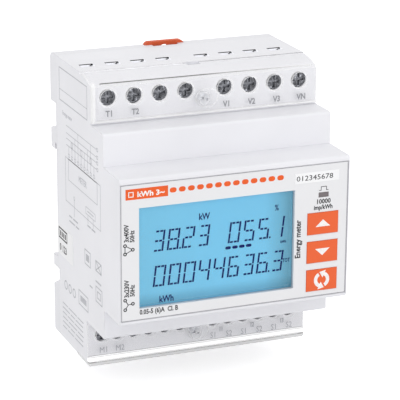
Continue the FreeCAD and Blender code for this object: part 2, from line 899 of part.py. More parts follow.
def lcd_panel():
    """Two glass sheets; the rear one is taller and carries the contacts."""
    front = label_front - window_thick
    inset = fit_gap
    x0 = lcd_left + inset
    x1 = lcd_right - inset
    face = block(x0, x1, front - glass, front, lcd_bottom + inset, lcd_top - inset)
    rear = block(x0, x1, front - 2 * glass, front - glass,
                 lcd_bottom - contact_ledge, lcd_top + contact_ledge)
    return join([face, rear])


def lcd_stack():
    """Depths behind the display: front glass, rear glass, light guide, board."""
    front = label_front - window_thick
    rear = front - 2 * glass
    return front, rear, rear - light_guide_thick, display_front


def zebra_lines():
    middle = contact_ledge / 2
    return lcd_bottom - middle, lcd_top + middle


def lcd_frame():
    front, rear, guide_back, base = lcd_stack()
    gap = running_gap
    x0 = lcd_left + fit_gap
    x1 = lcd_right - fit_gap
    low = lcd_bottom - contact_ledge
    high = lcd_top + contact_ledge
    shape = block(x0 - frame_wall, x1 + frame_wall, base, nose_inner, low - frame_wall, high + frame_wall)
    cuts = [
        block(x0 - gap, x1 + gap, rear, front, low - gap, high + gap),
        block(x0 - gap, x1 + gap, guide_back - gap, front,
              lcd_bottom + fit_gap - gap, lcd_top - fit_gap + gap),
    ]
    for z in zebra_lines():
        low = z - zebra_wide / 2 - gap
        cuts.append(block(x0 + frame_wall, x1 - frame_wall, base - 1, front, low, low + zebra_wide + 2 * gap))
    return shape.cut(cuts)


def backlight():
    _, rear, guide_back, _ = lcd_stack()
    return block(lcd_left + fit_gap, lcd_right - fit_gap, guide_back, rear,
                 lcd_bottom + fit_gap, lcd_top - fit_gap)


def zebra_strips():
    _, rear, _, base = lcd_stack()
    x0 = lcd_left + fit_gap + frame_wall + running_gap
    x1 = lcd_right - fit_gap - frame_wall - running_gap
    return group([block(x0, x1, base, rear, z - zebra_wide / 2, z + zebra_wide / 2) for z in zebra_lines()])


def display_board():
    return block(-board_edge, board_edge, display_board_depth, display_front,
                 nose_bottom + wall + board_gap, nose_top - wall - board_gap)


def key(z):
    """Hollow cap with a flange that stops it behind the wall, and a stem."""
    front = label_front + key_proud
    flange_back = nose_inner - key_flange_thick
    cap = block(key_left, key_right, flange_back, front, z - key_tall / 2, z + key_tall / 2)
    cap = round_edges(cap, fit_gap, lambda e: same(middle_of(e)[1], front))
    reach = key_flange
    flange = block(key_left - reach, key_right + reach, flange_back, flange_back + key_flange_thick,
                   z - key_tall / 2 - reach, z + key_tall / 2 + reach)
    pocket = block(key_left + key_wall, key_right - key_wall, flange_back - 1, front - key_skin,
                   z - key_tall / 2 + key_wall, z + key_tall / 2 - key_wall)
    stem_end = display_front + switch_tall + plunger_rise
    stem = rod(key_stem, stem_end, front - key_skin + key_stem_root, key_centre_x, z)
    return join([cap.fuse(flange).cut(pocket), stem])


def key_plunger(z):
    top = display_front + switch_tall
    return rod(plunger, top - plunger_root, top + plunger_rise, key_centre_x, z)


def key_switches():
    top = display_front + switch_tall
    half = switch_side / 2
    shapes = []
    for z in key_centres():
        case = block(key_centre_x - half, key_centre_x + half, display_front, top, z - half, z + half)
        bore = rod(plunger + 2 * running_gap, top - plunger_root - key_travel - running_gap, top + 1,
                   key_centre_x, z)
        shapes.append(case.cut(bore))
    return group(shapes)


def lamp_centre():
    return label_right - lamp_right_margin, label_top - lamp_top_margin


def led_lens():
    x, z = lamp_centre()
    front = block(x - lamp_wide / 2, x + lamp_wide / 2, nose_inner, label_front,
                  z - lamp_tall / 2, z + lamp_tall / 2)
    reach = lamp_flange
    flange = block(x - lamp_wide / 2 - reach, x + lamp_wide / 2 + reach, nose_inner - lamp_flange_thick,
                   nose_inner, z - lamp_tall / 2 - reach, z + lamp_tall / 2 + reach)
    return join([front, flange])


def pulse_led():
    x, z = lamp_centre()
    rim_front = display_front + led_rim_thick
    stem_front = display_front + led_tall - led / 2
    rim = rod(led_rim, display_front, rim_front, x, z)
    stem = rod(led, rim_front, stem_front, x, z)
    dome = Part.makeSphere(led / 2, at(x, stem_front, z))
    return join([rim, stem, dome])


def main_board():
    edge_z = half_h - wall - board_gap
    sheet = block(-board_edge, board_edge, main_board_depth, board_front, -edge_z, edge_z)
    holes = []
    for x in (-half_w + post_x_margin, half_w - post_x_margin):
        for z in (-post_z, post_z):
            holes.append(rod(peg + 2 * peg_gap, main_board_depth - 1, board_front + 1, x, z))
    return sheet.cut(holes)


def link_board():
    """Upright board between the main board and the display board."""
    top = nose_top - wall - board_gap - link_drop
    return block(-link_wide / 2, link_wide / 2, board_front, display_board_depth, top - board, top)


def transformer_span():
    low = transformer_rise - shoulder_z
    return low, low + transformer_tall


def suppressor_low():
    return insulator_low - suppressor_drop - suppressor_thick


def supply_height():
    """Middle of the supply parts, between the transformers and the suppressors."""
    return (transformer_span()[1] + suppressor_low()) / 2


def current_transformers():
    """Three potted transformers with a round eye for the measured wire."""
    shapes = []
    low, top = transformer_span()
    for n in range(3):
        x0 = transformer_edge - board_edge + n * (transformer_wide + transformer_space)
        x1 = x0 + transformer_wide
        case = block(x0, x1, board_front, board_front + transformer_deep, low, top)
        eye = bar_z(transformer_eye, (x0 + x1) / 2, board_front + transformer_eye_rise, low - 1, top + 1)
        shapes.append(case.cut(eye))
    return group(shapes)


def core_depths():
    back = board_front + core_rise
    return back, back + core_yoke, back + core_side - core_yoke, back + core_side


def supply_core():
    """Ferrite core: a rectangular ring with a centre leg."""
    half = core_side / 2
    z = supply_height()
    back, window_back, window_front, front = core_depths()
    ring = block(supply_x - half, supply_x + half, back, front, z - core_thick / 2, z + core_thick / 2)
    cuts = []
    for side in (-1, 1):
        x0, x1 = sorted((supply_x + side * core_leg / 2, supply_x + side * (half - core_yoke)))
        cuts.append(block(x0, x1, window_back, window_front, z - core_thick, z + core_thick))
    return ring.cut(cuts)


def supply_coil():
    """Wound bobbin round the core's centre leg, standing on the board."""
    z = supply_height()
    _, window_back, window_front, _ = core_depths()
    reach = core_side / 2 - core_yoke - running_gap
    d0 = window_back + running_gap
    d1 = window_front - running_gap
    tall = coil_tall / 2
    coil = block(supply_x - reach, supply_x + reach, d0, d1, z - tall, z + tall)
    leg = block(supply_x - core_leg / 2, supply_x + core_leg / 2, d0 - 1, d1 + 1,
                z - core_thick / 2, z + core_thick / 2)
    foot_x = reach - coil_foot
    feet = []
    for foot_z in (z - tall, z + tall - coil_foot):
        feet.append(block(supply_x - foot_x, supply_x + foot_x, board_front, d0, foot_z, foot_z + coil_foot))
    return join([coil.cut(leg)] + feet)


def supply_capacitors():
    top = board_front + capacitor_tall
    first = supply_x + capacitor_run
    xs = (first, first + capacitor + capacitor_space)
    return group([rod(capacitor, board_front, top, x, supply_height()) for x in xs])


def surge_suppressors():
    """Disc suppressors standing on the board below the upper terminals."""
    shapes = []
    low = suppressor_low()
    first = suppressor_edge - board_edge
    for x in (first, first + suppressor_pitch, board_edge - suppressor_right):
        depth = board_front + suppressor / 2 + suppressor_rise
        disc = bar_z(suppressor, x, depth, low, low + suppressor_thick)
        foot = block(x - suppressor / 4, x + suppressor / 4, board_front, board_front + 2 * suppressor_rise,
                     low + suppressor_thick / 4, low + suppressor_thick / 2)
        shapes.append(join([disc, foot]))
    return group(shapes)


def metering_chip():
    right = board_edge - chip_edge
    half = chip_side / 2
    return block(right - chip_side, right, board_front, board_front + chip_thick,
                 chip_z - half, chip_z + half)


def controller_chip():
    half = controller_side / 2
    return block(-half, half, display_board_depth - chip_thick, display_board_depth, -half, half)


def output_coupler():
    right = board_edge - coupler_edge
    top = transformer_span()[0] - coupler_space
    return block(right - coupler_wide, right, board_front, board_front + coupler_deep,
                 top - coupler_tall, top)


def side_sticker():
    return block(-half_w - sticker, -half_w, side_sticker_back, side_sticker_front,
                 side_sticker_low, side_sticker_high)


def serial_sticker():
    top = label_top - serial_drop
    return block(key_right - serial_wide, key_right, label_front, label_front + sticker,
                 top - serial_tall, top)


def nodes():
    up, down, cycle = key_centres()
    return {
        "rear_base": rear_base(),
        "main_body": main_body(),
        "upper_terminal_cover": upper_terminal_cover(),
        "lower_terminal_cover": lower_terminal_cover(),
        "upper_seal_plug": seal_plug(True),
        "lower_seal_plug": seal_plug(False),
        "clip_upper": clip(True),
        "clip_lower": clip(False),
        "front_label": front_label(),
        "lcd_window": lcd_window(),
        "lcd_panel": lcd_panel(),
        "lcd_frame": lcd_frame(),
        "backlight": backlight(),
        "zebra_strips": zebra_strips(),
        "display_board": display_board(),
        "key_up": key(up),
        "key_down": key(down),
        "key_cycle": key(cycle),
        "plunger_up": key_plunger(up),
        "plunger_down": key_plunger(down),
        "plunger_cycle": key_plunger(cycle),
        "key_switches": key_switches(),
        "led_lens": led_lens(),
        "pulse_led": pulse_led(),
        "main_board": main_board(),
        "link_board": link_board(),
        "upper_terminal_blocks": terminal_blocks(True),
        "upper_wire_clamps": wire_clamps(True),
        "upper_terminal_screws": terminal_screws(True),
        "lower_terminal_blocks": terminal_blocks(False),
        "lower_wire_clamps": wire_clamps(False),
        "lower_terminal_screws": terminal_screws(False),
        "current_transformers": current_transformers(),
        "supply_core": supply_core(),
        "supply_coil": supply_coil(),
        "supply_capacitors": supply_capacitors(),
        "surge_suppressors": surge_suppressors(),
        "metering_chip": metering_chip(),
        "controller_chip": controller_chip(),
        "output_coupler": output_coupler(),
        "side_sticker": side_sticker(),
        "serial_sticker": serial_sticker(),
    }


def main():
    os.makedirs("parts", exist_ok=True)
    for name, shape in nodes().items():
        if not shape.isValid():
            print("not valid:", name)
        shape.exportStep("parts/" + name + ".step")
        print(name, len(shape.Solids), round(shape.Volume, 1))


main()
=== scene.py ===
import json
import math

import bmesh
import bpy
from mathutils import Matrix, Vector


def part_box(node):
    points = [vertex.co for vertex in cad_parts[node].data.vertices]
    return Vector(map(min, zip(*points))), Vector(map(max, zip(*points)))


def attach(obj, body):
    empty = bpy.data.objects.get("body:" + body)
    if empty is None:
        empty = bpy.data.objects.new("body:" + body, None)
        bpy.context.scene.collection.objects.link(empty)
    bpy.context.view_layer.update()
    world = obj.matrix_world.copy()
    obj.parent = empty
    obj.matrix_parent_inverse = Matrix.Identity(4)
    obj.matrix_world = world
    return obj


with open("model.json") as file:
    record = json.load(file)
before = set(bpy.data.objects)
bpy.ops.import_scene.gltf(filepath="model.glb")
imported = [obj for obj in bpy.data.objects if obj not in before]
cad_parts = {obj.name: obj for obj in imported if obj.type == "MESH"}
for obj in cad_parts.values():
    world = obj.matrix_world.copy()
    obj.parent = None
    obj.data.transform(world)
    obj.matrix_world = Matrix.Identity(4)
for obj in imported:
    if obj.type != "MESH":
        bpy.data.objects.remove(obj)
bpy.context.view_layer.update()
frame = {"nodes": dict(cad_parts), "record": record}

# Looks of a DIN rail energy meter. Sizes are in millimetres until they are placed, and a
# depth is counted forward from the rail seat, so a point lies at y = -depth.

MM = 0.001
INK_THICK = 0.03         # printed ink and film stand this far proud
OUTER_INK_THICK = 0.012  # print on the keys and the side sticker, the part's outermost faces
CAPITAL_SHARE = 0.73     # capital height as a share of the built-in font's size
ENTRY_LIP = 0.5          # wall above the hollow of an upper wire entry
ENTRY_BACK = 15.2        # depths between which an upper wire entry is open
ENTRY_FRONT = 18.2
ENTRY_SHADE = 0.7        # stretch of painted shade on the entry's right-hand wall, from its back
ENTRY_REACH = 34.5       # the entries lie within this distance of the middle


# Frame and planes

class Span:
    """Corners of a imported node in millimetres, with depth counted forward."""

    def __init__(self, node):
        low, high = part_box(node)
        self.left, self.right = low.x / MM, high.x / MM
        self.back, self.front = -high.y / MM, -low.y / MM
        self.low, self.high = low.z / MM, high.z / MM

    def middle(self):
        return (self.left + self.right) / 2, (self.low + self.high) / 2


def face_depth(node, above=-1000.0):
    """Depth of a node's largest flat that faces forward, of those above a height."""
    areas = {}
    for face in frame["nodes"][node].data.polygons:
        if face.normal.y < -0.99 and face.center.z / MM > above:
            depth = round(-face.center.y / MM, 2)
            areas[depth] = areas.get(depth, 0.0) + face.area
    return max(areas, key=areas.get)


def wire_entry_ends():
    """Right-hand ends of the upper wire entries, across."""
    body = Span("main_body")
    ends = set()
    for face in frame["nodes"]["main_body"].data.polygons:
        x, depth, z = face.center.x / MM, -face.center.y / MM, face.center.z / MM
        in_lip = z > body.high - ENTRY_LIP and ENTRY_BACK < depth < ENTRY_FRONT
        if face.normal.x < -0.99 and in_lip and x > body.left + 1:
            ends.add(round(x, 2))
    return sorted(ends)


def front_plane(depth):
    """Plane that faces forward: across, up, out."""
    return Matrix(((1, 0, 0, 0), (0, 0, -1, -depth), (0, 1, 0, 0), (0, 0, 0, 1)))


def left_plane(x):
    """Plane that faces left: towards the front, up, out."""
    return Matrix(((0, 0, -1, x), (-1, 0, 0, 0), (0, 1, 0, 0), (0, 0, 0, 1)))


# Materials

def linear(red, green, blue):
    """Colour as seen on screen, 0 to 255, as the shader's linear values."""
    values = []
    for level in (red, green, blue):
        share = level / 255
        values.append(share / 12.92 if share <= 0.04045 else ((share + 0.055) / 1.055) ** 2.4)
    return (*values, 1.0)


def grey(level):
    return linear(level, level, level)


WHITE = grey(255)
# Painted shade in the wire entries' corners and along their edges.
ENTRY_PAINTED_SHADE = grey(22)


def scaled(colour, share):
    return (*(min(1.0, level * share) for level in colour[:3]), 1.0)


class Shader:
    """A material's node tree with the few nodes that every finish here uses."""

    def __init__(self, name, material=None):
        self.material = material or bpy.data.materials.new(name)
        self.material.use_nodes = True
        self.nodes = self.material.node_tree.nodes
        self.links = self.material.node_tree.links
        self.body = self.nodes["Principled BSDF"]
        self.place = self.nodes.new("ShaderNodeTexCoord").outputs["Object"]

    @classmethod
    def over(cls, material):
        """More nodes for a material that is already made."""
        return cls(material.name, material)

    def add(self, kind, **values):
        node = self.nodes.new(kind)
        for name, value in values.items():
            setattr(node, name, value)
        return node

    def join(self, source, target):
        self.links.new(source, target)

    def set(self, **values):
        for name, value in values.items():
            self.body.inputs[name.replace("_", " ")].default_value = value

    def noise(self, scale, detail=2.0):
        """Noise over the part, with scale in marks per millimetre."""
        noise = self.add("ShaderNodeTexNoise")
        noise.inputs["Scale"].default_value = scale / MM
        noise.inputs["Detail"].default_value = detail
        self.join(self.place, noise.inputs["Vector"])
        return noise.outputs["Fac"]

    def ramp(self, source, stops):
        ramp = self.add("ShaderNodeValToRGB")
        elements = ramp.color_ramp.elements
        while len(elements) < len(stops):
            elements.new(0.5)
        for element, (place, colour) in zip(elements, stops):
            element.position = place
            element.color = colour
        self.join(source, ramp.inputs["Fac"])
        return ramp.outputs["Color"]

    def range(self, source, low, high, from_low=0.3, from_high=0.7):
        node = self.add("ShaderNodeMapRange")
        limits = {"From Min": from_low, "From Max": from_high, "To Min": low, "To Max": high}
        for name, value in limits.items():
            node.inputs[name].default_value = value
        self.join(source, node.inputs["Value"])
        return node.outputs["Result"]

    def colour(self, source):
        self.join(source, self.body.inputs["Base Color"])

    def rough(self, source):
        self.join(source, self.body.inputs["Roughness"])

    def edges(self, radius, sharp=0.12):
        """1 along convex and concave edges, 0 on open faces."""
        bevel = self.add("ShaderNodeBevel", samples=6)
        bevel.inputs["Radius"].default_value = radius * MM
        plain = self.add("ShaderNodeNewGeometry")
        dot = self.add("ShaderNodeVectorMath", operation="DOT_PRODUCT")
        self.join(bevel.outputs["Normal"], dot.inputs[0])
        self.join(plain.outputs["Normal"], dot.inputs[1])
        return self.range(dot.outputs["Value"], 1.0, 0.0, 1.0 - sharp, 0.999)

    def mix(self, share, first, second):
        """Colour between two, by a share that is a socket."""
        node = self.add("ShaderNodeMix", data_type="RGBA")
        self.join(share, node.inputs["Factor"])
        for value, name in ((first, "A"), (second, "B")):
            if isinstance(value, tuple):
                node.inputs[name].default_value = value
            else:
                self.join(value, node.inputs[name])
        return node.outputs["Result"]

    def times(self, first, second):
        """Two colours multiplied."""
        node = self.add("ShaderNodeMix", data_type="RGBA", blend_type="MULTIPLY")
        node.inputs["Factor"].default_value = 1.0
        self.join(first, node.inputs["A"])
        self.join(second, node.inputs["B"])
        return node.outputs["Result"]

    def math(self, operation, first, second=0.0):
        node = self.add("ShaderNodeMath", operation=operation)
        for value, socket in ((first, node.inputs[0]), (second, node.inputs[1])):
            if isinstance(value, float):
                socket.default_value = value
            else:
                self.join(value, socket)
        return node.outputs["Value"]

    def along(self, axis):
        """Place along X, Y or Z, in metres."""
        split = self.add("ShaderNodeSeparateXYZ")
        self.join(self.place, split.inputs["Vector"])
        return split.outputs[axis]

    def within(self, axis, low, high, soft=0.05):
        """1 between two places in millimetres, fading out over a soft margin."""
        middle, half = (low + high) / 2 * MM, (high - low) / 2 * MM
        away = self.math("ABSOLUTE", self.math("SUBTRACT", self.along(axis), middle))
        return self.range(away, 1.0, 0.0, half, half + soft * MM)

    def tint(self, mask, tone):
        """Another colour over the one so far, where a mask is 1."""
        before = self.body.inputs["Base Color"].links[0].from_socket
        self.colour(self.mix(mask, before, tone))

    def rise(self, axis, start, end, low=0.0, high=1.0):
        """Even change from low to high between two places in millimetres."""
        return self.range(self.along(axis), low, high, start * MM, end * MM)

    def both(self, *masks):
        """Product of masks."""
        total = masks[0]
        for mask in masks[1:]:
            total = self.math("MULTIPLY", total, mask)
        return total

    def bump(self, source, height, edge=0.0):
        """Relief of a height in millimetres over corners softened by edge."""
        bump = self.add("ShaderNodeBump")
        bump.inputs["Distance"].default_value = height * MM
        self.join(source, bump.inputs["Height"])
        if edge:
            bevel = self.add("ShaderNodeBevel", samples=4)
            bevel.inputs["Radius"].default_value = edge * MM
            self.join(bevel.outputs["Normal"], bump.inputs["Normal"])
        self.join(bump.outputs["Normal"], self.body.inputs["Normal"])


def moulded(name, colour, roughness=0.45, grain=2.2, relief=0.012, tone=0.03, edge=0.18, specular=0.5,
            glow=0.0):
    """Moulded plastic: faint flow tone, fine grain and softened corners; glow is the strength of a painted
    glow over the whole part.
    """
    shader = Shader(name)
    flow = shader.noise(0.035, detail=3.0)
    shader.colour(shader.ramp(flow, [(0.35, scaled(colour, 1 - tone)), (0.65, scaled(colour, 1 + tone / 2))]))
    fine = shader.noise(grain, detail=3.0)
    shader.rough(shader.range(fine, roughness - 0.05, roughness + 0.07))
    shader.bump(fine, relief, edge)
    shader.set(Specular_IOR_Level=specular, Emission_Color=colour, Emission_Strength=glow)
    return shader.material


def entry_shaded_corners(shader):
    """1 in the rear corner at the right-hand end of each upper wire entry, where shade is painted."""
    top = Span("main_body").high
    wide, deep, behind = 0.5, 2.5, 2.3
    corners = None
    for end in wire_entry_ends():
        corner = shader.within("X", end - wide, end + 0.1)
        corners = corner if corners is None else shader.math("MAXIMUM", corners, corner)
    return shader.both(corners, shader.within("Z", top - deep, top - 0.02, 0.01),
                       shader.within("Y", -ENTRY_BACK - ENTRY_SHADE, -ENTRY_BACK + behind))


def insulating_plastic(name, colour):
    """Pale insulator with a painted glow all over, and painted shade in the corners of the wire entries over
    it, where the glow is cut out.
    """
    # Painted light: the insulator glows.
    glow = 0.65
    shader = Shader.over(moulded(name, colour, roughness=0.5, glow=glow))
    corners = entry_shaded_corners(shader)
    # Painted shade in the entries' corners.
    shader.tint(corners, ENTRY_PAINTED_SHADE)
    shader.join(shader.range(corners, glow, 0.0, 0.0, 1.0), shader.body.inputs["Emission Strength"])
    return shader.material


def body_plastic(name, colour):
    """Moulded plastic of the body; the cut walls of its upper wire entries and the step behind its crown have
    a painted glow, with painted shade along the walls' top edge, at the back of their side walls and in their
    right-hand rear corners.
    """
    shader = Shader.over(moulded(name, colour))
    top = Span("main_body").high
    facing = shader.add("ShaderNodeSeparateXYZ")
    shader.join(shader.add("ShaderNodeNewGeometry").outputs["Normal"], facing.inputs["Vector"])
    upright = shader.range(shader.math("ABSOLUTE", facing.outputs["Z"]), 1.0, 0.0, 0.3, 0.5)
    sideways = shader.range(shader.math("ABSOLUTE", facing.outputs["X"]), 0.0, 1.0, 0.3, 0.5)
    across = shader.math("SUBTRACT", 1.0, sideways)
    walls = shader.both(upright, shader.within("Z", top - 2 * ENTRY_LIP, top - 0.01, 0.01),
                        shader.within("X", -ENTRY_REACH, ENTRY_REACH),
                        shader.within("Y", -ENTRY_FRONT - 0.8, -ENTRY_BACK + 0.6))
    # Painted shade: a thin dark line along the top of the entries' walls, the back of their side walls and
    # their rear corners.
    brink_shade = shader.both(across, shader.within("Z", top - 0.28, top, 0.03))
    shade = shader.both(sideways, shader.within("Y", -ENTRY_BACK - ENTRY_SHADE, -ENTRY_BACK + 0.5))
    dark = shader.both(walls, shader.math("MAXIMUM", shade, brink_shade))
    dark = shader.math("MAXIMUM", dark, entry_shaded_corners(shader))
    shader.tint(dark, ENTRY_PAINTED_SHADE)
    inside = shader.both(walls, shader.math("SUBTRACT", 1.0, dark))
    # Painted light: the step behind the crown glows too.
    behind = -face_depth("main_body", top - ENTRY_LIP)
    step = shader.both(upright, shader.within("Z", top - 0.6, top),
                       shader.within("Y", behind - 0.1, behind + 0.1))
    # Painted glow on the cut walls and on the step.
    glow = 0.42
    painted_glow = shader.math("MULTIPLY", shader.math("MAXIMUM", inside, step), glow)
    shader.set(Emission_Color=grey(240))
    shader.join(painted_glow, shader.body.inputs["Emission Strength"])
    return shader.material


def clear_plastic(name, tint, alpha, edge=0.0, edge_alpha=0.6, roughness=0.08, painted_bands=None):
    """Clear moulded plastic, seen by its gloss, painted highlights along its edges and any painted bands of
    light and shade of its own.
    """
    shader = Shader(name)
    flow = shader.noise(0.05, detail=2.0)
    colour = shader.ramp(flow, [(0.3, scaled(tint, 0.97)), (0.7, tint)])
    cover = shader.range(flow, alpha, alpha * 1.3)
    if edge:
        # Painted highlight: the edges are whiter and less clear.
        rim = shader.edges(edge)
        if painted_bands:
            colour, cover, rim = painted_bands(shader, colour, cover, rim)
        colour = shader.mix(rim, colour, WHITE)
        cover = shader.math("MAXIMUM", cover, shader.range(rim, alpha, edge_alpha, 0.0, 1.0))
    shader.colour(colour)
    shader.join(cover, shader.body.inputs["Alpha"])
    shader.rough(shader.range(shader.noise(0.6), roughness - 0.03, roughness + 0.06))
    shader.set(Specular_IOR_Level=0.6)
    return shader.material


def less_on_boss(shader, node, share):
    """1 on a cover's face and a share of it on the seal boss, which stands before the face."""
    face = face_depth(node)
    return shader.rise("Y", -(face + 0.3), -(face + 0.1), share, 1.0)


def upper_cover_painted_bands(shader, colour, cover, rim):
    """Painted shade in the seam along the crown's front, dark on the left and fading to a painted highlight
    on the right; painted highlights on the left end and foot; no edge highlight at the back.
    """
    node = "upper_terminal_cover"
    span, face = Span(node), face_depth(node)
    seam_z, seam_half = span.high - 2.37, 0.14
    seam_left, seam_right = -33.0, 33.5
    front = shader.within("Y", -face - 0.2, -face + 1.2)
    line = shader.both(front, shader.within("Z", seam_z - seam_half, seam_z + seam_half),
                       shader.within("X", seam_left, seam_right, 0.6))
    # Painted shade in the seam, fading to a painted highlight on the right.
    tones = ((0.0, 88), (0.48, 96), (0.57, 160), (0.75, 190), (1.0, 235))
    tone = shader.ramp(shader.rise("X", seam_left, seam_right),
                       [(place, grey(level)) for place, level in tones])
    ahead_of_back = shader.rise("Y", -(span.back + 2.4), -(span.back + 1.6), 1.0, 0.0)
    rim = shader.both(rim, ahead_of_back, less_on_boss(shader, node, 0.35))
    # Painted highlights on the left end and the foot.
    end = shader.within("X", span.left, span.left + 1.0, 0.2)
    foot = shader.within("Z", span.low, span.low + 0.45, 0.15)
    rim = shader.math("MAXIMUM", rim, shader.both(shader.math("MAXIMUM", end, foot), front))
    colour = shader.mix(line, colour, tone)
    cover = shader.math("MAXIMUM", cover, shader.math("MULTIPLY", line, 0.9))
    return colour, cover, shader.both(rim, shader.math("SUBTRACT", 1.0, line))


def lower_cover_painted_bands(shader, colour, cover, rim):
    """Painted highlights and a painted glow on the lip, and thin painted dark lines, where the lower cover's
    floor is seen through its front.
    """
    node = "lower_terminal_cover"
    low, banded = Span(node).low, 5.0
    upward = shader.rise("Z", low, low + banded)
    # Painted highlights and thin painted dark lines, rising from the foot.
    painted_bands = ((0.0, 215, 0.75), (0.1, 235, 0.75), (0.22, 240, 0.7), (0.26, 150, 0.85), (0.31, 150, 0.85),
             (0.34, 253, 0.95), (0.58, 253, 0.95), (0.62, 205, 0.5), (0.66, 240, 0.06), (1.0, 240, 0.06))
    tone = shader.ramp(upward, [(place, grey(level)) for place, level, _ in painted_bands])
    share = shader.ramp(upward, [(place, (share, share, share, 1)) for place, _, share in painted_bands])
    # Painted glow on the lip.
    glow = ((0.0, 60), (0.33, 60), (0.36, 150), (0.57, 150), (0.6, 0), (1.0, 0))
    shader.join(shader.ramp(upward, [(place, grey(level)) for place, level in glow]),
                shader.body.inputs["Emission Color"])
    shader.set(Emission_Strength=1.0)
    rim = shader.both(rim, less_on_boss(shader, node, 0.3))
    return shader.times(colour, tone), shader.math("MAXIMUM", cover, share), rim


def metal(name, colour, roughness=0.32, rim=1.7):
    """Plated steel: uneven plating, lighter along its edges."""
    shader = Shader(name)
    plating = shader.noise(1.1, detail=4.0)
    tone = shader.ramp(plating, [(0.32, scaled(colour, 0.55)), (0.68, scaled(colour, 1.25))])
    shader.colour(shader.mix(shader.edges(0.12), tone, scaled(colour, rim)))
    shader.rough(shader.range(plating, roughness - 0.12, roughness + 0.12))
    shader.bump(plating, 0.12, edge=0.1)
    shader.set(Metallic=1.0)
    return shader.material


def screw_steel(name, colour, node):
    """Dark plated screws with painted glints over their tool marks, painted highlights along their edges, and
    painted light that makes the cross slots paler.
    """
    shader = Shader(name)
    face = face_depth(node)
    sunk = shader.rise("Y", -(face - 0.1), -(face - 0.3))
    marks = shader.noise(0.9, detail=4.0)
    # Painted glints: bright flecks over the tool marks.
    stops = ((0.36, 0.55), (0.52, 1.0), (0.6, 1.5), (0.68, 4.0))
    tone = shader.ramp(marks, [(place, scaled(colour, share)) for place, share in stops])
    # Painted highlight along the edges.
    tone = shader.mix(shader.edges(0.2), tone, scaled(colour, 2.8))
    # Painted light in the sunk cross slots.
    shader.colour(shader.mix(sunk, tone, scaled(colour, 2.0)))
    shader.rough(shader.range(marks, 0.4, 0.22))
    shader.bump(marks, 0.2, edge=0.25)
    shader.set(Metallic=0.8)
    return shader.material


def ink(name, colour, roughness=0.55, specular=0.3):
    """Printed ink with slightly uneven cover."""
    shader = Shader(name)
    shader.set(Specular_IOR_Level=specular)
    cover = shader.noise(1.3, detail=2.0)
    shader.colour(shader.ramp(cover, [(0.3, scaled(colour, 0.92)), (0.7, scaled(colour, 1.08))]))
    shader.rough(shader.range(cover, roughness - 0.05, roughness + 0.05))
    return shader.material


def laminate(name, colour):
    """Green circuit board with paler tracks under the resist."""
    shader = Shader(name)
    tracks = shader.add("ShaderNodeTexBrick")
    tracks.inputs["Scale"].default_value = 0.12 / MM
    tracks.inputs["Mortar Size"].default_value = 0.035
    tracks.inputs["Color1"].default_value = colour
    tracks.inputs["Color2"].default_value = scaled(colour, 1.15)
    tracks.inputs["Mortar"].default_value = scaled(colour, 1.7)
    shader.join(shader.place, tracks.inputs["Vector"])
    shader.colour(tracks.outputs["Color"])
    shader.bump(tracks.outputs["Fac"], 0.03)
    shader.set(Roughness=0.35)
    return shader.material


def wound(name, colour):
    """Tape over a winding: even turns along the coil."""
    shader = Shader(name)
    turns = shader.add("ShaderNodeTexWave", bands_direction="Z")
    turns.inputs["Scale"].default_value = 0.9 / MM
    turns.inputs["Distortion"].default_value = 0.4
    shader.join(shader.place, turns.inputs["Vector"])
    shader.colour(shader.ramp(turns.outputs["Fac"], [(0.2, scaled(colour, 0.7)), (0.8, colour)]))
    shader.bump(turns.outputs["Fac"], 0.08)
    shader.set(Roughness=0.4)
    return shader.material


def display_glass(name, span):
    """Backlit display: even blue that is darker towards the right, with painted shade along its lower edge
    and, faintly, its upper edge.
    """
    shader = Shader(name)
    across = [(0.0, linear(119, 188, 215)), (0.5, linear(119, 191, 221)), (0.82, linear(119, 191, 221)),
              (0.93, linear(108, 172, 198)), (1.0, linear(92, 147, 169))]
    # Painted shade along the lower edge and, faintly, the upper edge.
    upward = [(0.0, (0.32, 0.36, 0.4, 1)), (0.04, (0.58, 0.62, 0.66, 1)), (0.16, WHITE), (0.9, WHITE),
              (1.0, (0.9, 0.93, 0.96, 1))]
    tone = shader.times(shader.ramp(shader.rise("X", span.left, span.right), across),
                        shader.ramp(shader.rise("Z", span.low, span.high), upward))
    shader.colour(tone)
    shader.join(tone, shader.body.inputs["Emission Color"])
    shader.set(Emission_Strength=0.3, Roughness=0.4, Specular_IOR_Level=0.2)
    return shader.material


HOUSING = linear(233, 233, 237)
LABEL = linear(230, 230, 232)
ORANGE = linear(232, 93, 32)
SCREW = linear(90, 91, 95)
DARK_PRINT = linear(38, 38, 42)
SIDE_PRINT = linear(186, 187, 192)


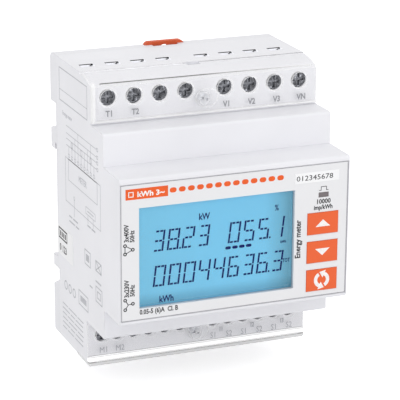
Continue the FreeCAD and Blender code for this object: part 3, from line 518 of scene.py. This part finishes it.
def make_materials():
    """Finishes by the record's slots; the clear covers and seal plugs get their own in dress_nodes."""
    return {
        "housing": body_plastic("housing", HOUSING),
        "base": moulded("base", scaled(HOUSING, 0.97), grain=1.8, relief=0.016),
        "clip_orange": moulded("clip_orange", linear(222, 95, 52), roughness=0.55, tone=0.12, specular=0.3),
        "label_film": moulded("label_film", LABEL, roughness=0.5, grain=5.0, relief=0.004, tone=0.012,
                              edge=0.05),
        "window": clear_plastic("window", linear(225, 240, 248), 0.02, roughness=0.06),
        "lcd": display_glass("lcd", Span("lcd_panel")),
        "key_orange": moulded("key_orange", ORANGE, roughness=0.42, grain=3.5, relief=0.006, edge=0.15),
        "lens": moulded("lens", linear(112, 104, 106), roughness=0.2, tone=0.15),
        "white_plastic": moulded("white_plastic", linear(228, 230, 230), roughness=0.4),
        "guide": clear_plastic("guide", linear(214, 236, 246), 0.5, roughness=0.15),
        "contact_rubber": moulded("contact_rubber", linear(40, 40, 43), roughness=0.75, relief=0.03),
        "board": laminate("board", linear(28, 98, 62)),
        "black_plastic": moulded("black_plastic", linear(36, 36, 39), roughness=0.5, relief=0.02),
        "insulator": insulating_plastic("insulator", linear(222, 223, 227)),
        "steel": metal("steel", linear(120, 121, 125)),
        "potting": moulded("potting", linear(58, 74, 128), roughness=0.3, tone=0.1),
        "ferrite": moulded("ferrite", linear(66, 66, 70), roughness=0.7, relief=0.05, tone=0.15),
        "winding": wound("winding", linear(226, 196, 110)),
        "capacitor": moulded("capacitor", linear(50, 54, 74), roughness=0.25, tone=0.08),
        "suppressor": moulded("suppressor", linear(52, 92, 168), roughness=0.28, tone=0.12),
        "sticker": moulded("sticker", linear(243, 243, 244), roughness=0.6, grain=4.0, relief=0.006,
                           edge=0.0),
    }


def dress_nodes(materials):
    """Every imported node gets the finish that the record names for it, or one of its own."""
    seal = clear_plastic("seal_clear", linear(236, 237, 241), 0.4, edge=0.3, edge_alpha=0.6)
    own = {"upper_seal_plug": seal, "lower_seal_plug": seal}
    for row, edge, painted_bands in (("upper", 0.9, upper_cover_painted_bands), ("lower", 0.7, lower_cover_painted_bands)):
        screws = row + "_terminal_screws"
        own[row + "_terminal_cover"] = clear_plastic(row + "_cover_clear", grey(250), 0.03, edge=edge,
                                                     painted_bands=painted_bands)
        own[screws] = screw_steel(row + "_screw_steel", SCREW, screws)
    finish = {row["node"]: row["material_slot"] for row in frame["record"]["subparts"]}
    for name, node in frame["nodes"].items():
        node.data.materials.clear()
        node.data.materials.append(own[name] if name in own else materials[finish[name]])


# Printing

class Print:
    """Marks gathered on one plane and turned into one thin piece of ink."""

    def __init__(self, name, plane, material, body="housing", thick=INK_THICK):
        self.name, self.plane, self.material = name, plane, material
        self.body, self.thick = body, thick
        self.mesh = bmesh.new()

    def outline(self, points):
        """A closed outline as a thin plate."""
        lower = [self.mesh.verts.new((u, v, 0)) for u, v in points]
        upper = [self.mesh.verts.new((u, v, self.thick)) for u, v in points]
        self.mesh.faces.new(upper)
        self.mesh.faces.new(lower[::-1])
        for n in range(len(points)):
            after = (n + 1) % len(points)
            self.mesh.faces.new((lower[n], lower[after], upper[after], upper[n]))

    def bar(self, u0, v0, u1, v1):
        left, right = sorted((u0, u1))
        low, high = sorted((v0, v1))
        self.outline([(left, low), (right, low), (right, high), (left, high)])

    def stroke(self, start, end, wide):
        """A straight line of a width between two points."""
        a, b = Vector(start), Vector(end)
        side = (b - a).orthogonal().normalized() * wide / 2
        self.outline([tuple(a + side), tuple(a - side), tuple(b - side), tuple(b + side)][::-1])

    def rectangle(self, u0, v0, u1, v1, wide):
        """A rectangle drawn with a line of a width, inside its corners."""
        a0, b0, a1, b1 = u0 + wide, v0 + wide, u1 - wide, v1 - wide
        self.ring_of([(u0, v0), (u1, v0), (u1, v1), (u0, v1)], [(a0, b0), (a1, b0), (a1, b1), (a0, b1)])

    def ring_of(self, outer, inner, closed=True):
        """The band between two like outlines."""
        count = len(outer)
        rows = []
        for points, height in ((outer, 0), (outer, self.thick), (inner, self.thick), (inner, 0)):
            rows.append([self.mesh.verts.new((u, v, height)) for u, v in points])
        for n in range(count if closed else count - 1):
            after = (n + 1) % count
            for k in range(4):
                row, beside = rows[k], rows[(k + 1) % 4]
                self.mesh.faces.new((row[n], row[after], beside[after], beside[n]))
        if not closed:
            self.mesh.faces.new([row[0] for row in rows])
            self.mesh.faces.new([row[-1] for row in rows][::-1])

    def arc(self, u, v, radius, wide, start=0.0, end=360.0, steps=24):
        """A ring or part of one, with angles counted from the right."""
        closed = abs(end - start) >= 360
        count = steps if closed else steps + 1
        turns = [math.radians(start + (end - start) * n / steps) for n in range(count)]
        rims = [[(u + r * math.cos(t), v + r * math.sin(t)) for t in turns]
                for r in (radius + wide / 2, radius - wide / 2)]
        self.ring_of(*rims, closed)

    def pill(self, u, v, wide, tall, steps=8):
        """A rounded dot with flat upper and lower edges."""
        radius = tall / 2
        run = wide / 2 - radius
        points = []
        for side, start in ((1, -90), (-1, 90)):
            for n in range(steps + 1):
                turn = math.radians(start + 180 * n / steps)
                points.append((u + side * run + radius * math.cos(turn), v + radius * math.sin(turn)))
        self.outline(points)

    def words(self, text, u, v, tall, squeeze=0.8, turn=0.0, align="CENTER", weight=0.035):
        """Lettering with capitals of a height, its base line through (u, v)."""
        curve = bpy.data.curves.new(self.name + "_text", "FONT")
        curve.body = text
        curve.size = tall / CAPITAL_SHARE
        curve.align_x = align
        curve.resolution_u = 2
        curve.offset = weight * tall
        curve.extrude = self.thick / 2
        carrier = bpy.data.objects.new(self.name + "_text", curve)
        flat = bpy.data.meshes.new_from_object(carrier)
        shaped = Matrix.Rotation(math.radians(turn), 4, "Z") @ Matrix.Diagonal((squeeze, 1, 1, 1))
        flat.transform(Matrix.Translation((u, v, self.thick / 2)) @ shaped)
        self.mesh.from_mesh(flat)
        bpy.data.objects.remove(carrier)
        bpy.data.curves.remove(curve)
        bpy.data.meshes.remove(flat)

    def done(self, slot=None):
        """Places the ink on its plane, riding on its body."""
        bmesh.ops.recalc_face_normals(self.mesh, faces=self.mesh.faces)
        self.mesh.transform(Matrix.Scale(MM, 4) @ self.plane)
        mesh = bpy.data.meshes.new(self.name)
        self.mesh.to_mesh(mesh)
        self.mesh.free()
        piece = bpy.data.objects.new(self.name, mesh)
        bpy.context.scene.collection.objects.link(piece)
        mesh.materials.append(self.material)
        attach(piece, self.body)


# Terminal marks

def terminal_marks(upper_ink, lower_ink):
    """Marks under the screws of both rows, on the clear covers' fronts."""
    squeeze = 0.85
    row = Print("upper_terminal_marks", front_plane(face_depth("upper_terminal_cover")), upper_ink)
    tall = 1.8
    for name, x, base in (("T1", -30.5, 33.8), ("T2", -22.5, 33.75), ("V1", 6.2, 33.4), ("V2", 14.2, 33.4),
                          ("V3", 22.3, 33.4), ("VN", 30.3, 33.4)):
        row.words(name, x, base, tall, squeeze)
    row.done()
    row = Print("lower_terminal_marks", front_plane(face_depth("lower_terminal_cover")), lower_ink)
    tall, phase_tall, phase_base = 1.95, 1.5, -40.0
    for name, x, base in (("M1", -30.9, -41.65), ("M2", -25.7, -41.65), ("S1", 4.85, -41.9),
                          ("S2", 10.1, -42.0), ("S1", 15.1, -42.0), ("S2", 20.3, -42.0),
                          ("S1", 25.3, -42.0), ("S2", 30.4, -41.9)):
        row.words(name, x, base, tall, squeeze, weight=0.0)
    for name, x in (("I1", 7.5), ("I2", 17.9), ("I3", 28.0)):
        row.words(name, x, phase_base, phase_tall, squeeze)
    row.done()


# Front label

def label_prints(label, dark, orange, line, white):
    """All the print on the front label."""
    plane = front_plane(label.front)
    label_outline(label, plane, line)
    label_block(label, plane, orange, white)
    label_text(label, plane, dark)
    symbols = Print("label_symbols", plane, dark)
    delta_symbol(symbols, label.left + 2.45, 0.75)
    star_symbol(symbols, label.left + 2.4, -15.9)
    pulse_symbol(symbols, 27.65, 11.75)
    symbols.done("label_film")
    serial_number(dark)


def label_outline(label, plane, line):
    """Thin line round the label, just inside its edge."""
    inset, wide = 0.05, 0.14
    border = Print("label_border", plane, line)
    border.rectangle(label.left + inset, label.low + inset, label.right - inset, label.high - inset, wide)
    border.done("label_film")


def label_block(label, plane, orange, white):
    """Orange block with a square and a unit sign, and the row of dots beside it."""
    left, top = label.left + 1.5, label.high - 1.3
    wide, tall = 12.8, 3.15
    trim = Print("label_orange_trim", plane, orange)
    trim.bar(left, top - tall, left + wide, top)
    dots, dot_pitch, dot_wide, dot_tall = 13, 2.773, 2.1, 1.5
    dot_left, dot_height = label.left + 15.85, label.high - 2.85
    for n in range(dots):
        trim.pill(dot_left + dot_pitch * n, dot_height, dot_wide, dot_tall)
    trim.done("key_orange")
    margin, square = 0.8, 1.6
    base = top - margin - square
    marks = Print("label_block_marks", front_plane(label.front + INK_THICK), white)
    marks.rectangle(left + margin, base, left + margin + square, top - margin, 0.25)
    marks.words("kWh 3~", left + 7.6, base, 1.55, 1.15, weight=0.05)
    marks.done("label_film")


def label_text(label, plane, dark):
    """Ratings up the left edge and along the foot, a name beside the keys and the lamp's legend."""
    volts, hertz = label.left + 2.35, label.left + 4.05
    text = Print("label_ratings", plane, dark)
    for words, u, v, tall, squeeze in (
            ("3x400V", volts, 5.65, 1.45, 0.86), ("50Hz", hertz, 4.6, 1.4, 0.86),
            ("3x230V", volts, -11.0, 1.45, 0.86), ("50Hz", hertz, -11.75, 1.4, 0.86),
            ("Energy meter", 20.45, -2.5, 1.75, 0.9)):
        text.words(words, u, v, tall, squeeze, turn=90)
    text.words("0.05-5 (6)A  Cl. B", label.left + 5.6, label.low + 1.62, 1.5, align="LEFT")
    lamp = 27.6
    text.words("10000", lamp, 7.75, 1.45, 0.95)
    text.words("imp/kWh", lamp, 6.0, 1.4, 0.84)
    text.done("label_film")


def serial_number(dark):
    """Plain counted figures on the serial sticker."""
    sticker = Span("serial_sticker")
    middle, height = sticker.middle()
    tall = 1.6
    plate = Print("serial_number", front_plane(sticker.front), dark)
    plate.words("012345678", middle - 0.8, height - tall / 2, tall, 1.2, weight=0.0)
    plate.done("sticker")


def delta_symbol(ink_on, u, v):
    """Triangle of three lines with a small ring at each corner."""
    corners = [(u - 1.2, v - 1.25), (u + 1.15, v - 0.1), (u - 1.2, v + 1.25)]
    linked_rings(ink_on, corners, list(zip(corners, corners[1:] + corners[:1])))


def star_symbol(ink_on, u, v):
    """Three lines from a middle point, with a small ring at each end."""
    ends = [(u - 1.2, v - 1.45), (u + 1.15, v + 0.2), (u - 1.2, v + 1.45)]
    linked_rings(ink_on, ends, [((u - 0.25, v), end) for end in ends])


def linked_rings(ink_on, points, lines):
    ring = 0.4
    for point in points:
        ink_on.arc(*point, ring, 0.3, steps=16)
    for start, end in lines:
        a, b = Vector(start), Vector(end)
        way = (b - a).normalized() * ring
        if start in points:
            a = a + way
        ink_on.stroke(a, b - way, 0.22)


def pulse_symbol(ink_on, u, v):
    """Square pulse over the lamp."""
    line, tall, half, reach = 0.17, 1.25, 0.85, 1.5
    high = v + tall
    ink_on.bar(u - reach, v, u - half, v + line)
    ink_on.bar(u + half, v, u + reach, v + line)
    ink_on.bar(u - half, high - line, u + half, high)
    for side in (u - half, u + half):
        ink_on.bar(side - line / 2, v, side + line / 2, high)


# Display

SEGMENTS = {"0": "abcdef", "1": "bc", "2": "abdeg", "3": "abcdg", "4": "bcfg", "5": "acdfg",
            "6": "acdefg", "7": "abc", "8": "abcdefg", "9": "abcdfg"}
DIGIT_WIDE = 3.5
DIGIT_TALL = 6.3
DIGIT_PITCH = 4.6
DIGIT_LEAN = math.tan(math.radians(7))
SEGMENT_LINE = 0.55
STOP_SIDE = 0.5          # full stop, and its distance from the digit before it
STOP_GAP = 0.35


def segment_outlines():
    """Strokes of a digit: upright segments are one bar, level ones two dashes."""
    wide, tall, line = DIGIT_WIDE, DIGIT_TALL, SEGMENT_LINE
    middle, half, right = wide / 2, tall / 2, wide - line
    cut, nick = 0.3, 0.14

    def box(u0, u1, v0, v1):
        return [(u0, v0), (u1, v0), (u1, v1), (u0, v1)]

    def dashes(v):
        low, high = v - line / 2, v + line / 2
        return [box(line + nick, middle - cut / 2, low, high), box(middle + cut / 2, right - nick, low, high)]

    def bar(u, low, high):
        return [box(u, u + line, low, high)]

    return {"f": bar(0, half + cut / 2, tall), "b": bar(right, half + cut / 2, tall),
            "e": bar(0, 0, half - cut / 2), "c": bar(right, 0, half - cut / 2),
            "a": dashes(tall - line / 2), "g": dashes(half), "d": dashes(line / 2)}


def leaning(points, u, v):
    return [(u + a + b * DIGIT_LEAN, v + b) for a, b in points]


def number(ink_on, digits, u, v):
    """A row of digits; a full stop takes no room of its own."""
    shapes = segment_outlines()
    place = 0
    for digit in digits:
        left = u + DIGIT_PITCH * place
        if digit == ".":
            stop = left - DIGIT_PITCH + DIGIT_WIDE + STOP_GAP
            ink_on.bar(stop, v, stop + STOP_SIDE, v + STOP_SIDE)
            continue
        for key in SEGMENTS[digit]:
            for stroke in shapes[key]:
                ink_on.outline(leaning(stroke, left, v))
        place += 1


def display_prints(panel, blue):
    """Numerals and unit signs in the display glass, just in front of the panel."""
    plane = front_plane(panel.front + INK_THICK)
    text = Print("display_segments", plane, blue)
    number(text, "38.23", panel.left + 3.9, -1.15)
    number(text, "055.1", panel.left + 27.4, -1.35)
    number(text, "00044636.3", panel.left + 4.2, -11.8)
    text.done("lcd")
    marks = Print("display_signs", plane, blue)
    for words, u, v, tall, squeeze, weight in (
            ("kW", -9.6, 6.85, 2.0, 0.82, 0.03), ("%", 13.15, 6.9, 1.9, 0.75, 0.015),
            ("kWh", -21.2, -16.75, 2.05, 0.8, 0.03), ("TOT", 16.4, -9.3, 1.15, 0.75, 0.035),
            ("kWh", 15.4, -3.3, 0.85, 0.8, 0.035)):
        marks.words(words, u, v, tall, squeeze, weight=weight)
    dashes, dash_left, dash_pitch, dash_height = 4, -2.1, 2.16, -2.75
    for n in range(dashes):
        marks.pill(dash_left + dash_pitch * n, dash_height, 1.75, 0.9)
    marks.done("lcd")


# Keys

def key_ink(name, white):
    """Ink on a key's face, with the face's middle."""
    key = Span("key_" + name)
    return Print("icon_" + name, front_plane(key.front), white, "key_" + name, OUTER_INK_THICK), key.middle()


def key_icons(white):
    """Up and down arrow heads and a pair of turning arrows."""
    half, tip, foot = 2.35, 1.15, 1.0
    for name, point in (("up", 1), ("down", -1)):
        icon, (u, v) = key_ink(name, white)
        shape = [(u - half, v - foot * point), (u + half, v - foot * point), (u, v + tip * point)]
        icon.outline(shape[::point])
        icon.done("label_film")
    icon, (u, v) = key_ink("cycle", white)
    radius, band, head, head_long = 1.95, 1.1, 1.25, 1.7
    start, sweep = -62, 128
    for first in (start, start + 180):
        end = first + sweep
        icon.arc(u, v, radius, band, first, end, steps=14)
        turn = math.radians(end)
        out = Vector((math.cos(turn), math.sin(turn)))
        way = Vector((-math.sin(turn), math.cos(turn)))
        root = Vector((u, v)) + out * radius
        icon.outline([tuple(root - out * head), tuple(root + out * head), tuple(root + way * head_long)])
    icon.done("label_film")


# Left side

RULE = 0.2               # thin line of the wiring diagram


def side_prints(body, sticker, side, dark):
    """Plain wiring diagram and frames on the left side, with bars where small notes would be."""
    plane = left_plane(body.left)
    lines = Print("side_diagram", plane, side)
    lines.rectangle(3.75, 31.9, 30.0, 42.2, 0.3)
    lines.bar(3.9, 35.3, 29.9, 35.3 + RULE)
    wiring_diagram(lines)
    lines.done("housing")
    notes = Print("side_notes", plane, side)
    notes.words("Energy meter", 6.5, 28.0, 1.3, 0.95, align="LEFT", weight=0.0)
    for u, v, lengths in ((11.8, -2.8, (3.0, 4.5)), (11.8, -4.4, (5.5, 3.0)), (29.0, -0.6, (3.0, 3.4)),
                          (36.0, -15.6, (5.0,)), (30.5, -19.0, (2.6,))):
        words_as_bars(notes, u, v, lengths)
    rows, first_row, row_pitch = 6, -33.4, 1.55
    lengths = ((5.0, 8.0, 5.5), (7.0, 4.0, 7.0), (4.0, 6.0, 8.0))
    for n in range(rows):
        words_as_bars(notes, 4.0, first_row - row_pitch * n, lengths[n % len(lengths)], tall=0.36)
    side_frames(notes)
    notes.done("housing")
    side_sticker_marks(sticker, dark)


def side_sticker_marks(sticker, dark):
    """Frame with four bars and counted figures on the side sticker."""
    bars, bar_left, bar_pitch, bar_wide = 4, 2.7, 1.55, 0.9
    mark = Print("side_sticker_marks", left_plane(sticker.left), dark, thick=OUTER_INK_THICK)
    mark.rectangle(1.3, -12.6, 9.6, -9.0, 0.5)
    for n in range(bars):
        left = bar_left + bar_pitch * n
        mark.bar(left, -11.7, left + bar_wide, -10.0)
    mark.words("0 123", 5.6, -16.4, 2.3, 0.95)
    mark.done("sticker")


def wiring_diagram(lines):
    """Supply lines, terminal row, meter box and output, drawn with a thin line."""
    rows, row_start, row_end = (25.4, 23.1, 21.4, 19.4), 10.0, 38.0
    for v in rows:
        lines.bar(row_start, v - RULE / 2, row_end, v + RULE / 2)
        lines.rectangle(row_end, v - 0.55, row_end + 1.3, v + 0.55, RULE)
    first, pitch, terminals, terminal_half = 12.4, 2.9, 9, 0.75
    for n in range(terminals):
        u = first + pitch * n
        lines.bar(u - RULE / 2, 17.0, u + RULE / 2, rows[3 - n % 4])
        lines.rectangle(u - terminal_half, 15.9, u + terminal_half, 17.0, RULE)
    for n in (1, 4, 7):
        lines.arc(first + pitch * n, rows[3] + 1.0, 0.9, RULE, steps=16)
    for u0, v0, u1, v1 in ((8.75, 1.4, 41.2, 15.4), (11.6, 8.6, 38.4, 15.4), (27.6, 2.9, 36.4, 5.2)):
        lines.rectangle(u0, v0, u1, v1, RULE)
    lines.words("METER", 25.0, 10.9, 2.0, 0.9, weight=0.0)
    lines.bar(29.2, 3.9, 34.8, 4.2)
    lines.arc(16.9, 4.3, 0.55, RULE, steps=16)
    lines.bar(16.8, -1.6, 17.0, 3.7)
    for u in (29.6, 34.4):
        lines.bar(u - RULE / 2, 0.2, u + RULE / 2, 2.9)


def words_as_bars(ink_on, u, v, lengths, tall=0.5, space=0.8):
    """A line of small print, too fine to read, as one bar for each word."""
    for length in lengths:
        ink_on.bar(u, v, u + length, v + tall)
        u += length + space


def side_frames(ink_on):
    """Plain framed marks low on the side: filled, crossed and double frames, and three circles."""
    line = 0.35
    for u0, v0, u1, v1 in ((26.1, -13.2, 31.5, -8.4), (36.1, -12.2, 41.4, -8.8), (36.0, -21.8, 41.9, -16.8),
                           (37.4, -20.5, 40.5, -18.1), (19.9, -28.2, 28.9, -23.4)):
        ink_on.rectangle(u0, v0, u1, v1, line)
    ink_on.bar(27.4, -11.9, 30.2, -9.7)
    ink_on.bar(21.6, -26.7, 27.2, -24.9)
    ink_on.stroke((36.4, -11.9), (41.1, -9.1), line)
    ink_on.stroke((36.4, -9.1), (41.1, -11.9), line)
    first, pitch = 7.6, 4.0
    for n in range(3):
        ink_on.arc(first + pitch * n, -26.4, 1.3, 0.45, steps=20)


# Stage

CLIP_TRAVEL = 6.35       # how far a clip slides out
FLOOR_DROP = 1.0         # floor below the lower clip when it is pulled out
FLOOR_REACH = 1500.0
FLOOR_GLOW = 0.55        # brings the floor to white where it is seen
SOFT_LIGHT = 0.89        # strength of the even light on the object


def make_floor(lowest):
    """Pale floor under the part's lowest reach, which shows white and takes the shadow."""
    low = lowest - FLOOR_DROP
    mesh = bpy.data.meshes.new("floor")
    corners = [(u * FLOOR_REACH, v * FLOOR_REACH, low) for u, v in ((-1, -1), (1, -1), (1, 1), (-1, 1))]
    mesh.from_pydata([Vector(c) * MM for c in corners], [], [(0, 1, 2, 3)])
    floor = bpy.data.objects.new("floor", mesh)
    bpy.context.scene.collection.objects.link(floor)
    shader = Shader("floor")
    tones = [(0.0, (0.80, 0.80, 0.81, 1)), (1.0, (0.86, 0.86, 0.86, 1))]
    shader.colour(shader.ramp(shader.noise(0.06), tones))
    shader.set(Roughness=0.9, Specular_IOR_Level=0.0, Emission_Color=WHITE)
    glow = shader.math("MULTIPLY", seen_directly(shader.nodes, shader.links), FLOOR_GLOW)
    shader.join(glow, shader.body.inputs["Emission Strength"])
    mesh.materials.append(shader.material)


def seen_directly(nodes, links):
    """1 for camera, glossy and transmission rays, else 0."""
    path = nodes.new("ShaderNodeLightPath")
    total = path.outputs["Is Camera Ray"]
    for ray in ("Is Glossy Ray", "Is Transmission Ray"):
        most = nodes.new("ShaderNodeMath")
        most.operation = "MAXIMUM"
        links.new(total, most.inputs[0])
        links.new(path.outputs[ray], most.inputs[1])
        total = most.outputs[0]
    return total


def make_world():
    """Even soft light on the object, and white where the world is seen."""
    world = bpy.data.worlds.new("studio")
    bpy.context.scene.world = world
    world.use_nodes = True
    nodes, links = world.node_tree.nodes, world.node_tree.links
    nodes.clear()
    mix = nodes.new("ShaderNodeMixShader")
    links.new(seen_directly(nodes, links), mix.inputs[0])
    for socket, strength in ((mix.inputs[1], SOFT_LIGHT), (mix.inputs[2], 1.0)):
        light = nodes.new("ShaderNodeBackground")
        light.inputs["Color"].default_value = WHITE
        light.inputs["Strength"].default_value = strength
        links.new(light.outputs[0], socket)
    output = nodes.new("ShaderNodeOutputWorld")
    links.new(mix.outputs[0], output.inputs["Surface"])


def aim(item, place, target):
    item.location = place
    item.rotation_euler = (Vector(target) - Vector(place)).to_track_quat("-Z", "Y").to_euler()


def make_lamps():
    """Soft lamps, in metres and watts: a key on the left front, one above and a low one in front."""
    for name, place, size, power in (("key_lamp", (-0.6, -0.9, 0.65), 0.9, 1.8),
                                     ("top_lamp", (0.5, 0.1, 1.0), 0.8, 1.0),
                                     ("low_lamp", (0.3, -1.05, 0.12), 0.3, 1.0)):
        light = bpy.data.lights.new(name, "AREA")
        light.shape = "SQUARE"
        light.size = size
        light.energy = power
        lamp = bpy.data.objects.new(name, light)
        bpy.context.scene.collection.objects.link(lamp)
        aim(lamp, place, (0, -0.03, 0))


def make_camera():
    """Camera at the photograph's angle, by heading, height and roll, aimed inside the body."""
    heading, height, roll = math.radians(21.83), math.radians(17.64), math.radians(0.32)
    distance, lens, film = 608.1, 181.56, 36
    body_middle = Vector((0, -30, 0))
    aside, above = -0.36, 3.557
    level = math.cos(height)
    ahead = Vector((math.sin(heading) * level, math.cos(heading) * level, -math.sin(height)))
    right = Vector((math.cos(heading), -math.sin(heading), 0))
    up = right.cross(ahead)
    target = body_middle + aside * right + above * up
    turned = Matrix((right, up, -ahead)).transposed() @ Matrix.Rotation(roll, 3, "Z")
    lens_data = bpy.data.cameras.new("camera")
    lens_data.lens = lens
    lens_data.sensor_width = film
    camera = bpy.data.objects.new("camera", lens_data)
    camera.matrix_world = Matrix.Translation((target - ahead * distance) * MM) @ turned.to_4x4()
    bpy.context.scene.collection.objects.link(camera)
    bpy.context.scene.camera = camera


def main():
    dress_nodes(make_materials())
    terminal_marks(ink("upper_terminal_ink", linear(146, 147, 152)),
                   ink("lower_terminal_ink", linear(168, 169, 175)))
    dark = ink("label_ink", DARK_PRINT)
    white = ink("icon_ink", linear(244, 240, 238), 0.45)
    orange = ink("label_orange", ORANGE, 0.45)
    label_prints(Span("front_label"), dark, orange, ink("border_ink", linear(150, 150, 156)), white)
    display_prints(Span("lcd_panel"), ink("segment_ink", linear(2, 20, 92), 0.6, specular=0.05))
    key_icons(white)
    side_prints(Span("main_body"), Span("side_sticker"), ink("side_ink", SIDE_PRINT), dark)
    make_floor(Span("clip_lower").low - CLIP_TRAVEL)
    make_world()
    make_lamps()
    make_camera()
    bpy.context.scene.view_settings.view_transform = "Standard"


main()
